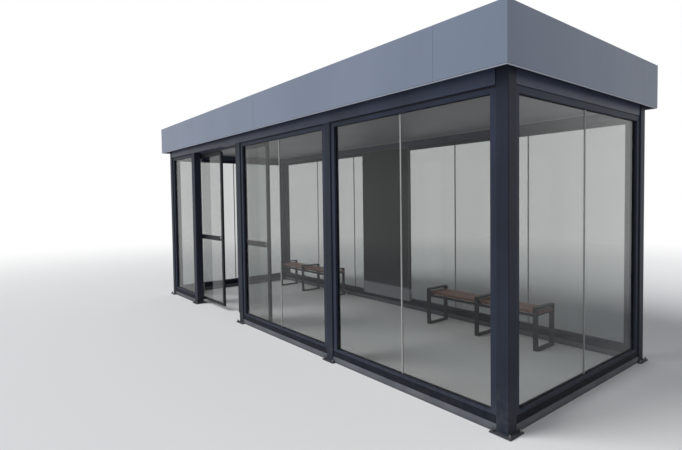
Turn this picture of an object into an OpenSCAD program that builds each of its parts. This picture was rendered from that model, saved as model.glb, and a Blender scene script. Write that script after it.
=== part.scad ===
// A glazed waiting shelter for a stop: steel posts, floor-to-head glass on all four sides, a sliding
// double door in the front, a flat roof behind a deep fascia, and two benches inside.
// Origin: centre of the plan, on the ground. X runs along the shelter, with +X at the end beside the
// wide windows. The front faces -Y, and +Z is up. Everything is in millimetres.

/* [Plan] */
// Length over the corner posts
plan_length = 6580; // [6300:10:7400]
// Depth over the corner posts
plan_depth = 2320; // [2000:10:2800]
// Side of the square posts
post_size = 100; // [80:5:120]
// Clear width of each of the two wide front windows
bay_clear = 1850; // [1700:5:1900]
// Clear width of the doorway
door_clear = 1470; // [1300:5:1500]

/* [Walls] */
// Height of the pale kerb under the walls
kerb_high = 55; // [40:1:80]
// Height of the dark bottom rail on the kerb
rail_high = 53; // [45:1:90]
// Top of the posts and of the head beams
post_top = 2470; // [2300:5:2700]
// Height of the head beams
head_high = 110; // [80:5:140]
// Width of a window frame's stiles
stile_width = 50; // [40:1:80]
// Height of a window frame's sill member
sill_height = 27; // [25:1:60]
// Height of a window frame's head member
frame_head = 50; // [25:1:70]
// Thickness of the wall glass
glass_thick = 8; // [6:1:12]

/* [Roof] */
// How far the fascia hangs below the roof beams
fascia_drop = 22; // [0:1:60]
// Height of the fascia
fascia_height = 406; // [300:2:500]
// Overhang of the roof in front and behind
overhang_front = 115; // [60:5:200]
// Overhang of the roof at the two ends
overhang_end = 65; // [40:5:150]

/* [Door] */
// How far a closed leaf laps behind its door post
door_lap = 145; // [110:5:180]
// How far the near leaf stands open as built
near_leaf_open = 470; // [0:10:700]
// Thickness of a door leaf
leaf_thick = 30; // [24:1:40]

/* [Benches] */
// Length of a bench
bench_length = 1510; // [1200:10:1700]
// Depth of a bench
bench_depth = 350; // [300:5:420]
// Height of the bench slats' top
seat_top = 416; // [400:1:450]
// Rise of the low armrests above the slats
arm_rise = 41; // [30:1:120]
// Gap between a bench and the back wall's inner face
bench_wall_gap = 80; // [0:5:200]
// Distance of the near bench from the near end wall
bench_near_gap = 700; // [100:10:900]
// Distance of the far bench from the far end wall
bench_far_gap = 525; // [100:5:700]

/* [Board] */
// Width of the dark board inside the back wall
board_width = 1020; // [600:10:1100]
// Distance of the board from the near end wall
board_near_gap = 2920; // [2300:10:3300]

/* [Hidden] */
$fn = 48;

// Plan
half_length = plan_length / 2;
half_depth = plan_depth / 2;
near_clear = half_length - post_size;
mullion_x = near_clear - bay_clear - post_size;
door_near_x = mullion_x - bay_clear - post_size;
door_far_x = door_near_x - door_clear - post_size;
door_middle = door_near_x - door_clear / 2;
end_clear = half_depth - post_size;

// Heights
rail_top = kerb_high + rail_high;
head_bottom = post_top - head_high;

// Wall layers, measured inwards from the posts' outer face
kerb_set = 5;
kerb_width = 90;
kerb_chamfer = 5;
rail_set = 10;
rail_deep = 80;
frame_set = 14;
frame_deep = 52;
glass_set = frame_set + (frame_deep - glass_thick) / 2;
head_set = 10;
head_deep = post_size - head_set;

// Glazing rebates and joints
groove_deep = 12;
groove_side = 0.5;
glass_edge_gap = 2;
pane_joint = 4;
glass_bottom = rail_top + sill_height;
glass_top = head_bottom - frame_head;

// Steel sections
post_wall = 5;
post_round = 8;
tube_wall = 4;
tube_round = 6;
plate_side = 166;
plate_thick = 10;
plate_hole_pitch = 132;
plate_hole_d = 14;
plate_clearance = 1;

// Roof
fascia_sheet = 4;
fascia_return = 50;
fascia_lip = 14;
fascia_fold = 6;
fascia_joint = 3;
fascia_bottom = post_top - fascia_drop;
fascia_top = fascia_bottom + fascia_height;
roof_x = half_length + overhang_end;
roof_y = half_depth + overhang_front;
beam_high = 100;
beam_wide = 60;
joist_count = 7;
joist_high = 100;
joist_bottom = post_top + beam_high;
joist_top = joist_bottom + joist_high;
deck_thick = 90;
deck_fall = 30;
rib_pitch = 333;
rib_foot = 50;
rib_crown = 24;
rib_high = 35;
ceiling_thick = 20;
soffit_thick = 4;
soffit_joint = 2;

// Door leaves, hung behind the posts
meeting_gap = 6;
leaf_gap = 15;
leaf_bottom = 65;
leaf_drop = 35;
leaf_top = head_bottom - leaf_drop;
leaf_set = post_size + leaf_gap;
leaf_width = door_clear / 2 + door_lap - meeting_gap / 2;
leaf_stile = 45;
leaf_sill = 30;
leaf_head = 45;
leaf_glass = 6;
leaf_groove = 8;
bar_bottom = 1020;
bar_high = 65;
bar_stop = 70;
lock_wide = 55;
lock_high = 40;
far_leaf_x = door_middle - meeting_gap / 2 - leaf_width;
near_leaf_x = door_middle + meeting_gap / 2 + near_leaf_open;

// Track above the leaves, and the rollers that run on its lips
track_gap = 20;
track_deep = 60;
track_high = 70;
track_bottom = leaf_top + track_gap;
track_slot = 24;
roller_r = 16;
roller_wide = 36;
roller_gap = 0.3;
roller_z = track_bottom + tube_wall + roller_gap + roller_r;
hanger_r = 6;
hanger_inset = 120;
guide_clearance = 6;
guide_thick = 6;
guide_length = 80;
guide_rise = 25;

// Benches stand along the back wall
bench_near_x = near_clear - bench_near_gap - bench_length;
bench_far_x = -near_clear + bench_far_gap;
bench_y = end_clear - bench_wall_gap - bench_depth;
bench_bar_wide = 50;
bench_bar_thick = 20;
bench_rail_thick = 10;
bench_rail_high = 30;
seat_bar_thick = 15;
slat_count = 4;
slat_gap = 10;
slat_thick = 30;
slat_round = 5;
seat_bar_top = seat_top - slat_thick;
arm_top = seat_top + arm_rise;

// Board inside the back wall
board_x = near_clear - board_near_gap - board_width;
board_thick = 40;
plinth_high = 180;
plinth_top = rail_top + plinth_high;

// Local frame of a wall: x along it, y inwards from the posts' outer face, z up
module on_front() translate([0, -half_depth, 0]) children();
module on_back() mirror([0, 1, 0]) on_front() children();
module on_near_end() translate([half_length, 0, 0]) rotate([0, 0, 90]) children();
module on_far_end() mirror([1, 0, 0]) on_near_end() children();

// A box from x = a to b, y = set to set + deep, z = low to high
module slab(a, b, set, deep, low, high) {
    translate([a, set, low]) cube([b - a, deep, high - low]);
}

// A rectangle with rounded corners, centred
module rounded_rectangle(wide, high, round) {
    square([wide - 2 * round, high], center = true);
    square([wide, high - 2 * round], center = true);
    for (x = [-1, 1], y = [-1, 1])
        translate([x * (wide / 2 - round), y * (high / 2 - round)]) circle(r = round);
}

// The section of a rolled tube: rounded outside and inside
module tube_section(wide, high, wall, round) difference() {
    rounded_rectangle(wide, high, round);
    rounded_rectangle(wide - 2 * wall, high - 2 * wall, round - wall);
}

// Such a tube along x with open ends
module tube_x(a, b, set, deep, low, high) {
    translate([a, set + deep / 2, (low + high) / 2]) rotate([90, 0, 90])
        linear_extrude(b - a) tube_section(deep, high - low, tube_wall, tube_round);
}

// Repeats its children at the centre of each post
module at_posts() {
    for (x = [near_clear, mullion_x, door_near_x, door_far_x, -half_length])
        translate([x + post_size / 2, -half_depth + post_size / 2, 0]) children();
    for (x = [near_clear, -half_length])
        translate([x + post_size / 2, half_depth - post_size / 2, 0]) children();
}

// One square tube post, centred, standing on its base plate
module post() {
    color("#3a4150") translate([0, 0, plate_thick]) linear_extrude(post_top - plate_thick)
        tube_section(post_size, post_size, post_wall, post_round);
}

// A square plate with four anchor holes under each post
module base_plates() {
    color("#3a4150") at_posts() difference() {
        translate([-plate_side / 2, -plate_side / 2, 0]) cube([plate_side, plate_side, plate_thick]);
        for (sx = [-1, 1], sy = [-1, 1])
            translate([sx * plate_hole_pitch / 2, sy * plate_hole_pitch / 2, -1])
                cylinder(d = plate_hole_d, h = plate_thick + 2);
    }
}

module front_post(x) translate([x + post_size / 2, -half_depth + post_size / 2, 0]) post();
module rear_post(x) translate([x + post_size / 2, half_depth - post_size / 2, 0]) post();

module post_near_front() front_post(near_clear);
module post_mullion() front_post(mullion_x);
module post_door_near() front_post(door_near_x);
module post_door_far() front_post(door_far_x);
module post_far_front() front_post(-half_length);
module post_near_rear() rear_post(near_clear);
module post_far_rear() rear_post(-half_length);

// Kerbs are notched underneath for the base plates
module kerb_notches() {
    side = plate_side + 2 * plate_clearance;
    at_posts() translate([-side / 2, -side / 2, -1]) cube([side, side, plate_thick + plate_clearance + 1]);
}

// One length of cast kerb with chamfered top edges
module kerb(a, b) {
    far = kerb_set + kerb_width;
    shoulder = kerb_high - kerb_chamfer;
    translate([a, 0, 0]) rotate([90, 0, 90]) linear_extrude(b - a)
        polygon([[kerb_set, 0], [far, 0], [far, shoulder], [far - kerb_chamfer, kerb_high],
                 [kerb_set + kerb_chamfer, kerb_high], [kerb_set, shoulder]]);
}

module kerb_front() {
    color("#b9bcc0") difference() {
        on_front() {
            kerb(mullion_x + post_size, near_clear);
            kerb(door_near_x + post_size, mullion_x);
            kerb(-near_clear, door_far_x);
        }
        kerb_notches();
    }
}

module kerb_rear() {
    color("#b9bcc0") difference() {
        union() {
            on_back() kerb(-near_clear, near_clear);
            on_near_end() kerb(-end_clear, end_clear);
            on_far_end() kerb(-end_clear, end_clear);
        }
        kerb_notches();
    }
}

// Bottom rails on the kerbs
module rail(a, b) color("#333a48") tube_x(a, b, rail_set, rail_deep, kerb_high, rail_top);

module rail_front() on_front() {
    rail(mullion_x + post_size, near_clear);
    rail(door_near_x + post_size, mullion_x);
    rail(-near_clear, door_far_x);
}
module rail_rear() {
    on_back() rail(-near_clear, near_clear);
    on_near_end() rail(-end_clear, end_clear);
    on_far_end() rail(-end_clear, end_clear);
}

// A window frame with a rebate all round for its glass
module window_frame(a, b) {
    color("#333a48") difference() {
        slab(a, b, frame_set, frame_deep, rail_top, head_bottom);
        slab(a + stile_width, b - stile_width, frame_set - 1, frame_deep + 2, glass_bottom, glass_top);
        slab(a + stile_width - groove_deep, b - stile_width + groove_deep,
             glass_set - groove_side, glass_thick + 2 * groove_side,
             glass_bottom - groove_deep, glass_top + groove_deep);
    }
}

// Glass for such a frame, in equal panes with narrow open joints, resting on the rebate's bottom
module panes(a, b, count) {
    first = a + stile_width - groove_deep + glass_edge_gap;
    last = b - stile_width + groove_deep - glass_edge_gap;
    pane = (last - first - (count - 1) * pane_joint) / count;
    color([0.75, 0.85, 0.88, 0.35]) for (i = [0 : count - 1]) {
        start = first + i * (pane + pane_joint);
        slab(start, start + pane, glass_set, glass_thick,
             glass_bottom - groove_deep, glass_top + groove_deep - glass_edge_gap);
    }
}

module frame_bay_near() on_front() window_frame(mullion_x + post_size, near_clear);
module frame_bay_middle() on_front() window_frame(door_near_x + post_size, mullion_x);
module frame_side_light() on_front() window_frame(-near_clear, door_far_x);
module frame_end_near() on_near_end() window_frame(-end_clear, end_clear);
module frame_end_far() on_far_end() window_frame(-end_clear, end_clear);
module frame_back() on_back() window_frame(-near_clear, near_clear);

module glass_bay_near() on_front() panes(mullion_x + post_size, near_clear, 2);
module glass_bay_middle() on_front() panes(door_near_x + post_size, mullion_x, 2);
module glass_side_light() on_front() panes(-near_clear, door_far_x, 1);
module glass_end_near() on_near_end() panes(-end_clear, end_clear, 2);
module glass_end_far() on_far_end() panes(-end_clear, end_clear, 2);
module glass_back() on_back() panes(-near_clear, near_clear, 6);

// A dark board fixed to the inside of the back frame, with a paler base below it
module info_board() color("#23262c") on_back()
    slab(board_x, board_x + board_width, frame_set + frame_deep, board_thick, plinth_top, head_bottom);
module info_board_base() color("#8b8e93") on_back()
    slab(board_x, board_x + board_width, frame_set + frame_deep, board_thick, rail_top, plinth_top);

// Head beams between the posts
module head(a, b) color("#5a6170") tube_x(a, b, head_set, head_deep, head_bottom, post_top);

module head_front() on_front() {
    head(mullion_x + post_size, near_clear);
    head(door_near_x + post_size, mullion_x);
    head(door_far_x + post_size, door_near_x);
    head(-near_clear, door_far_x);
}
module head_back() on_back() head(-near_clear, near_clear);
module head_ends() {
    on_near_end() head(-end_clear, end_clear);
    on_far_end() head(-end_clear, end_clear);
}

// Roof: a ring of beams on the posts, joists across it, and a deck with a fall to the back
module roof_beams() {
    inset = (post_size - beam_wide) / 2;
    long = half_length - inset;
    short = half_depth - inset - beam_wide;
    color("#6c7078") {
        on_front() tube_x(-long, long, inset, beam_wide, post_top, joist_bottom);
        on_back() tube_x(-long, long, inset, beam_wide, post_top, joist_bottom);
        on_near_end() tube_x(-short, short, inset, beam_wide, post_top, joist_bottom);
        on_far_end() tube_x(-short, short, inset, beam_wide, post_top, joist_bottom);
    }
}

module roof_joists() {
    reach = roof_y - fascia_sheet;
    first = roof_x - fascia_sheet - beam_wide / 2;
    color("#6c7078") for (i = [0 : joist_count - 1])
        translate([first - i * 2 * first / (joist_count - 1), 0, 0]) rotate([0, 0, 90])
            tube_x(-reach, reach, -beam_wide / 2, beam_wide, joist_bottom, joist_top);
}

// The deck's ribs run down its fall, so that water leaves between them at the back
module roof_deck() {
    y = roof_y - fascia_sheet;
    x = roof_x - fascia_sheet;
    fall = atan(deck_fall / (2 * y));
    ribs = floor(2 * (x - rib_foot) / rib_pitch);
    rib_length = 2 * (y - rib_foot) / cos(fall);
    rib_base = joist_top + deck_thick - deck_fall / 2;
    foot = rib_foot / 2;
    crown = rib_crown / 2;
    color("#7d8187") union() {
        translate([-x, 0, joist_top]) rotate([90, 0, 90]) linear_extrude(2 * x)
            polygon([[-y, 0], [y, 0], [y, deck_thick - deck_fall], [-y, deck_thick]]);
        for (i = [0 : ribs])
            translate([(i - ribs / 2) * rib_pitch, 0, rib_base]) rotate([90 - fall, 0, 0])
                linear_extrude(rib_length, center = true)
                    polygon([[-foot, -rib_high / 4], [foot, -rib_high / 4], [foot, 0],
                             [crown, rib_high], [-crown, rib_high], [-foot, 0]]);
    }
}

module ceiling() color("#c9c6c8")
    translate([-near_clear, -end_clear, post_top - ceiling_thick])
        cube([2 * near_clear, 2 * end_clear, ceiling_thick]);

// Sheet strips that close the overhang below, between the fascia and the roof beams. The front and back
// strips run from end to end, and the end strips lie between them
module soffit() {
    inset = (post_size - beam_wide) / 2;
    reach = roof_x - fascia_sheet;
    beam_x = half_length - inset;
    beam_y = half_depth - inset;
    color("#4b505b") {
        for (my = [0, 1]) mirror([0, my, 0])
            translate([-reach, beam_y, post_top])
                cube([2 * reach, roof_y - fascia_sheet - beam_y, soffit_thick]);
        for (mx = [0, 1]) mirror([mx, 0, 0])
            translate([beam_x, -beam_y + soffit_joint, post_top])
                cube([reach - beam_x, 2 * (beam_y - soffit_joint), soffit_thick]);
    }
}

// The section of a folded fascia sheet: its face, a top return that caps the roof edge, and a lip below,
// cut out of a rounded band that is twice as deep
module fascia_profile() {
    middle = fascia_bottom + fascia_height / 2;
    difference() {
        translate([fascia_return, middle])
            tube_section(2 * fascia_return, fascia_height, fascia_sheet, fascia_fold);
        translate([fascia_return, fascia_bottom - 1]) square([fascia_return + 1, fascia_height + 2]);
        translate([fascia_lip, fascia_bottom - 1]) square([fascia_return, fascia_sheet + 2]);
    }
}

// Such a sheet from x = a to b, with its returns held back at each end by miter
module fascia_length(a, b, set, miter_a, miter_b) {
    color("#8a94a6") difference() {
        translate([a, set, 0]) rotate([90, 0, 90]) linear_extrude(b - a) fascia_profile();
        if (miter_a > 0) fascia_cut(a - 1, a + miter_a, set);
        if (miter_b > 0) fascia_cut(b - miter_b, b + 1, set);
    }
}

module fascia_cut(a, b, set)
    slab(a, b, set + fascia_sheet, fascia_return, fascia_bottom - 1, fascia_top + 1);

module fascia_side() {
    fascia_length(-roof_x, -fascia_joint / 2, -overhang_front, fascia_sheet, 0);
    fascia_length(fascia_joint / 2, roof_x, -overhang_front, 0, fascia_sheet);
}

module fascia_front() on_front() fascia_side();
module fascia_back() on_back() fascia_side();
module fascia_ends() {
    reach = roof_y - fascia_sheet;
    miter = fascia_return - fascia_sheet;
    on_near_end() fascia_length(-reach, reach, -overhang_end, miter, miter);
    on_far_end() fascia_length(-reach, reach, -overhang_end, miter, miter);
}

// Sliding door: a slotted track on the head beam, and guides at the foot of the door posts
module door_track() {
    middle = post_size + track_deep / 2;
    color("#4b505b") on_front() difference() {
        tube_x(-near_clear, mullion_x, post_size, track_deep, track_bottom, track_bottom + track_high);
        slab(-near_clear - 1, mullion_x + 1, middle - track_slot / 2, track_slot,
             track_bottom - 1, track_bottom + tube_wall + 1);
    }
}

module floor_guide(x) {
    inner = leaf_set + leaf_thick + guide_clearance;
    low = leaf_bottom - guide_clearance - guide_thick;
    high = leaf_bottom + guide_rise;
    color("#6c7078") {
        slab(x, x + guide_length, post_size, inner + guide_thick - post_size, low, low + guide_thick);
        slab(x, x + guide_length, inner, guide_thick, low, high);
        slab(x, x + guide_length, post_size, leaf_set - guide_clearance - post_size, low, high);
    }
}

module floor_guides() on_front() {
    floor_guide(door_far_x + (post_size - guide_length) / 2);
    floor_guide(door_near_x + (post_size - guide_length) / 2);
}

// One leaf's slim frame, with its push bar and lock case, which stand out on both faces of the glass,
// and its two hangers with their rollers
module leaf_frame(x) {
    glass_y = leaf_set + (leaf_thick - leaf_glass) / 2;
    bar_top = bar_bottom + bar_high;
    inner_x = x + leaf_width - leaf_stile;
    color("#2f3542") on_front() {
        difference() {
            slab(x, x + leaf_width, leaf_set, leaf_thick, leaf_bottom, leaf_top);
            difference() {
                slab(x + leaf_stile, inner_x, leaf_set - 1, leaf_thick + 2,
                     leaf_bottom + leaf_sill, leaf_top - leaf_head);
                slab(x, inner_x - bar_stop, leaf_set, leaf_thick, bar_bottom, bar_top);
                slab(inner_x - lock_wide, inner_x, leaf_set, leaf_thick, bar_top - lock_high, bar_top);
            }
            slab(x + leaf_stile - leaf_groove, inner_x + leaf_groove,
                 glass_y - groove_side, leaf_glass + 2 * groove_side,
                 leaf_bottom + leaf_sill - leaf_groove, leaf_top - leaf_head + leaf_groove);
        }
        for (hx = [x + hanger_inset, x + leaf_width - hanger_inset])
            translate([hx, leaf_set + leaf_thick / 2, 0]) {
                translate([0, 0, leaf_top - 1]) cylinder(r = hanger_r, h = roller_z - leaf_top + 1);
                translate([0, roller_wide / 2, roller_z]) rotate([90, 0, 0])
                    cylinder(r = roller_r, h = roller_wide);
            }
    }
}

module leaf_pane(x) {
    glass_y = leaf_set + (leaf_thick - leaf_glass) / 2;
    edge = leaf_groove - 1;
    color([0.75, 0.85, 0.88, 0.35]) on_front()
        slab(x + leaf_stile - edge, x + leaf_width - leaf_stile + edge, glass_y, leaf_glass,
             leaf_bottom + leaf_sill - leaf_groove, leaf_top - leaf_head + edge);
}

module leaf_far_frame() leaf_frame(far_leaf_x);
module leaf_far_glass() leaf_pane(far_leaf_x);
module leaf_near_frame() leaf_frame(near_leaf_x);
module leaf_near_glass() leaf_pane(near_leaf_x);

// Bench: three flat-bar loops, each with a seat bar, tied by a rail in front and one behind
module bench_frame(x) {
    color("#26292f") translate([x, bench_y, 0]) {
        for (i = [0 : 2])
            translate([i * (bench_length - bench_bar_wide) / 2, 0, 0]) difference() {
                cube([bench_bar_wide, bench_depth, arm_top]);
                translate([-1, bench_bar_thick, bench_bar_thick])
                    cube([bench_bar_wide + 2, bench_depth - 2 * bench_bar_thick,
                          seat_bar_top - seat_bar_thick - bench_bar_thick]);
                translate([-1, bench_bar_thick, seat_bar_top])
                    cube([bench_bar_wide + 2, bench_depth - 2 * bench_bar_thick,
                          arm_top - bench_bar_thick - seat_bar_top]);
            }
        for (y = [0, bench_depth - bench_rail_thick])
            translate([0, y, seat_bar_top - bench_rail_high])
                cube([bench_length, bench_rail_thick, bench_rail_high]);
    }
}

module bench_slats(x) {
    span = bench_depth - 2 * bench_bar_thick;
    width = (span - (slat_count + 1) * slat_gap) / slat_count;
    color("#7a4a35") for (i = [0 : slat_count - 1])
        translate([x, bench_y + bench_bar_thick + slat_gap + i * (width + slat_gap) + width / 2,
                   seat_bar_top + slat_thick / 2]) rotate([90, 0, 90])
            linear_extrude(bench_length) rounded_rectangle(width, slat_thick, slat_round);
}

module bench_near_frame() bench_frame(bench_near_x);
module bench_near_slats() bench_slats(bench_near_x);
module bench_far_frame() bench_frame(bench_far_x);
module bench_far_slats() bench_slats(bench_far_x);

kerb_front();
kerb_rear();
post_near_front();
post_mullion();
post_door_near();
post_door_far();
post_far_front();
post_near_rear();
post_far_rear();
base_plates();
rail_front();
rail_rear();
frame_bay_near();
frame_bay_middle();
frame_side_light();
frame_end_near();
frame_end_far();
frame_back();
glass_bay_near();
glass_bay_middle();
glass_side_light();
glass_end_near();
glass_end_far();
glass_back();
info_board();
info_board_base();
head_front();
head_back();
head_ends();
roof_beams();
roof_joists();
ceiling();
soffit();
roof_deck();
fascia_front();
fascia_back();
fascia_ends();
door_track();
floor_guides();
leaf_far_frame();
leaf_far_glass();
leaf_near_frame();
leaf_near_glass();
bench_near_frame();
bench_near_slats();
bench_far_frame();
bench_far_slats();
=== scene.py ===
from math import cos, pi, radians, sin

import bpy
import numpy as np
from mathutils import Matrix, Vector


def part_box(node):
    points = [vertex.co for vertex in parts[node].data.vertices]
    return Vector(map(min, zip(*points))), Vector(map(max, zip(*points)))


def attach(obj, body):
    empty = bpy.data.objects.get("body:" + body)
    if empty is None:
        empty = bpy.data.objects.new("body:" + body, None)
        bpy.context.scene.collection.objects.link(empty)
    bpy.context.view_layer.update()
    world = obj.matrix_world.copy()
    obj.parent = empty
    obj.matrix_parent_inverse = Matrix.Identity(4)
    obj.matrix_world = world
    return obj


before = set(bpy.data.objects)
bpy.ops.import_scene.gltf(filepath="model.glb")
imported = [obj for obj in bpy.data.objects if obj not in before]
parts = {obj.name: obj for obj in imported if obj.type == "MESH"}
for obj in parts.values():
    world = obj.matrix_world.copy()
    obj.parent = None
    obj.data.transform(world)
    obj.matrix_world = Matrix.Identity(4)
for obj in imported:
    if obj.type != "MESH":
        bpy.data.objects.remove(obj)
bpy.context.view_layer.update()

scene = bpy.context.scene
scene.view_settings.view_transform = "Standard"

# Camera. It stands at eye level off the near front corner and looks along the front wall, a little
# downwards. The small shift stands for the photograph's own framing.
yaw, pitch, roll = radians(51.09), radians(-2.069), radians(-0.754)
focal_pixels, picture_width, sensor_width = 471.74, 682, 36.0
eye, framing_shift = (5.038, -3.922, 1.608), (-0.0110, -0.0127)
ahead = Vector((-sin(yaw) * cos(pitch), cos(yaw) * cos(pitch), sin(pitch)))
level = Vector((cos(yaw), sin(yaw), 0))
upright = level.cross(ahead)
picture_x = cos(roll) * level + sin(roll) * upright
picture_y = cos(roll) * upright - sin(roll) * level
lens = bpy.data.cameras.new("eye_level")
lens.sensor_width = sensor_width
lens.lens = sensor_width * focal_pixels / picture_width
lens.shift_x, lens.shift_y = framing_shift
camera = bpy.data.objects.new("eye_level", lens)
camera.matrix_world = Matrix((picture_x, picture_y, -ahead)).transposed().to_4x4()
camera.location = eye
scene.collection.objects.link(camera)
scene.camera = camera


# Studio floor. A pale matt floor that turns into the white background some way out, so that the
# shelter's shadow stays on it and no horizon shows.
class Wire:
    """A socket in a material's nodes. Sums, products and powers written on it add Math nodes."""

    def __init__(self, tree, socket):
        self.tree, self.socket = tree, socket

    def add(self, kind, settings=None, inputs=None, out=0):
        """A new node: its settings go in first, then the values or wires of its inputs."""
        node = self.tree.nodes.new(kind)
        for name, value in (settings or {}).items():
            setattr(node, name, value)
        for name, value in (inputs or {}).items():
            if isinstance(value, Wire):
                self.tree.links.new(value.socket, node.inputs[name])
            else:
                node.inputs[name].default_value = value
        return Wire(self.tree, node.outputs[out])

    def math(self, operation, first, second=0.0):
        return self.add("ShaderNodeMath", {"operation": operation}, {0: first, 1: second})

    def __add__(self, other):
        return self.math("ADD", self, other)

    def __sub__(self, other):
        return self.math("SUBTRACT", self, other)

    def __rsub__(self, other):
        return self.math("SUBTRACT", other, self)

    def __mul__(self, other):
        return self.math("MULTIPLY", self, other)

    def __pow__(self, other):
        return self.math("POWER", self, other)

    def __abs__(self):
        return self.math("ABSOLUTE", self)

    __radd__, __rmul__ = __add__, __mul__

    def whole(self):
        """The whole number below this."""
        return self.math("FLOOR", self)

    def part(self, axis):
        """One of the three numbers of a vector."""
        return self.add("ShaderNodeSeparateXYZ", None, {0: self}, "XYZ".index(axis))

    def step(self, start, end):
        """0 up to start, 1 from end on, and a smooth rise between them."""
        return self.add("ShaderNodeMapRange", {"interpolation_type": "SMOOTHSTEP"},
                        {0: self, 1: start, 2: end})

    def tint(self, none, full):
        """The colour none where this is 0 and full where it is 1."""
        return self.add("ShaderNodeMix", {"data_type": "RGBA"}, {0: self, 6: none, 7: full}, 2)

    def stretched(self, scale):
        """This vector times scale, which pulls a pattern out along an axis with a small factor."""
        return self.add("ShaderNodeVectorMath", {"operation": "MULTIPLY"}, {0: self, 1: scale})

    def noise(self, scale, detail):
        """Cloudy noise from 0 to 1, about 1 / scale metres across."""
        return self.add("ShaderNodeTexNoise", None, {"Vector": self, "Scale": scale, "Detail": detail})

    def cells(self, scale):
        """Distance to the nearest of scattered points, 1 / scale metres apart."""
        return self.add("ShaderNodeTexVoronoi", None, {"Vector": self, "Scale": scale})

    def shaders(self, first, second):
        """A Mix Shader of two shaders, with this as its factor."""
        return self.add("ShaderNodeMixShader", None, {0: self, 1: first, 2: second})


def rgb(red, green, blue):
    """A colour read off a screen, 0 to 255, as the linear colour that a socket takes."""
    shade = np.array([red, green, blue]) / 255
    return (*np.where(shade > 0.04045, ((shade + 0.055) / 1.055) ** 2.4, shade / 12.92), 1.0)


def finish(name):
    """A new material, with a wire that holds the place on the piece in metres."""
    material = bpy.data.materials.new(name)
    material.use_nodes = True
    place = material.node_tree.nodes.new("ShaderNodeTexCoord").outputs["Object"]
    return material, Wire(material.node_tree, place)


def coat(material, bump=None, depth=0.001, **looks):
    """Sets a material's Principled shader: wires and values by the sockets' names, and bump in metres."""
    tree = material.node_tree
    shader = tree.nodes["Principled BSDF"]
    if bump is not None:
        looks["Normal"] = bump.add("ShaderNodeBump", None, {"Height": bump, "Distance": depth})
    for name, value in looks.items():
        socket = shader.inputs[name.replace("_", " ")]
        if isinstance(value, Wire):
            tree.links.new(value.socket, socket)
        else:
            socket.default_value = value
    return material


def show(wire):
    """Makes this shader the surface of its material."""
    output = wire.tree.nodes["Material Output"]
    wire.tree.links.new(wire.socket, output.inputs["Surface"])


def towards_eye(tree):
    """1 on a ray that the camera sees straight, in gloss or through glass, and 0 on one that lights."""
    rays = tree.nodes.new("ShaderNodeLightPath").outputs
    camera_ray, glossy_ray, glass_ray = (Wire(tree, rays[f"Is {kind} Ray"])
                                         for kind in ("Camera", "Glossy", "Transmission"))
    return (camera_ray + glossy_ray + glass_ray).step(0.0, 1.0)


floor_reach, floor_plain, floor_white, plain_white = 80.0, 4.5, 15.0, (1, 1, 1, 1)
floor_paint, floor_place = finish("studio_floor")
coat(floor_paint, Base_Color=rgb(234, 234, 234), Roughness=0.9, Specular_IOR_Level=0.1)
floor_tree = floor_paint.node_tree
far_out = floor_place.add("ShaderNodeVectorMath", {"operation": "LENGTH"}, {0: floor_place}, 1)
white = floor_place.add("ShaderNodeEmission", None, {"Color": plain_white, "Strength": 1.0})
matt = Wire(floor_tree, floor_tree.nodes["Principled BSDF"].outputs[0])
show((far_out.step(floor_plain, floor_white) * towards_eye(floor_tree)).shaders(matt, white))
floor_mesh = bpy.data.meshes.new("studio_floor")
corner_signs = ((-1, -1), (1, -1), (1, 1), (-1, 1))
floor_corners = [(x * floor_reach, y * floor_reach, 0) for x, y in corner_signs]
floor_mesh.from_pydata(floor_corners, [], [(0, 1, 2, 3)])
floor_mesh.materials.append(floor_paint)
floor = bpy.data.objects.new("studio_floor", floor_mesh)
scene.collection.objects.link(floor)

# Studio light. One broad soft lamp, far off, high to the left of the front, and an even sky that fills
# the shade. The sky shows as plain white to the camera, in gloss and in glass.
sky = scene.world or bpy.data.worlds.new("studio_sky")
scene.world = sky
sky.use_nodes = True
sky_tree, sky_fill = sky.node_tree, (0.33, 0.34, 0.36, 1)
sky_glow = towards_eye(sky_tree).tint(sky_fill, plain_white)
sky_tree.links.new(sky_glow.socket, sky_tree.nodes["Background"].inputs["Color"])
lamp_from, lamp_power, lamp_spread = Vector((-0.42, -0.66, 0.62)), 2.65, radians(34)
broad = bpy.data.lights.new("broad_lamp", "SUN")
broad.energy, broad.angle = lamp_power, lamp_spread
stand = bpy.data.objects.new("broad_lamp", broad)
stand.rotation_euler = lamp_from.to_track_quat("Z", "Y").to_euler()
stand.visible_glossy = False
scene.collection.objects.link(stand)

# Kerb. Grey concrete strips, cast in moulds and laid dry on the paving between the posts, with a
# sandy skin, small air holes and a damp darker foot.
kerb_foot, kerb_dry = 0.004, 0.032
cast_concrete, place = finish("cast_concrete")
sand = place.noise(260, 4)
cloud = place.noise(3.5, 4)
holes = place.cells(95).step(0.16, 0.05) * place.noise(40, 2).step(0.5, 0.62)
# The concrete's grey is painted darker than the concrete itself: partly painted shade, for the shade the kerb
# stands in at the foot of the walls.
dry = (cloud * 0.6 + sand * 0.4).step(0.35, 0.65).tint(rgb(80, 83, 90), rgb(100, 102, 108))
damp = place.part("Z").step(kerb_dry, kerb_foot) * (0.35 + cloud * 0.5)
stone = holes.tint(damp.tint(dry, rgb(64, 66, 70)), rgb(56, 57, 60))
coat(cast_concrete, sand * 0.5 + cloud * 0.3 - holes * 1.6, 0.0012, Base_Color=stone,
     Roughness=0.86 - damp * 0.2)


def dress(material, *names):
    """Gives CAD nodes this finish."""
    for name in names:
        parts[name].data.materials.clear()
        parts[name].data.materials.append(material)


dress(cast_concrete, "kerb_front", "kerb_rear")


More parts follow.
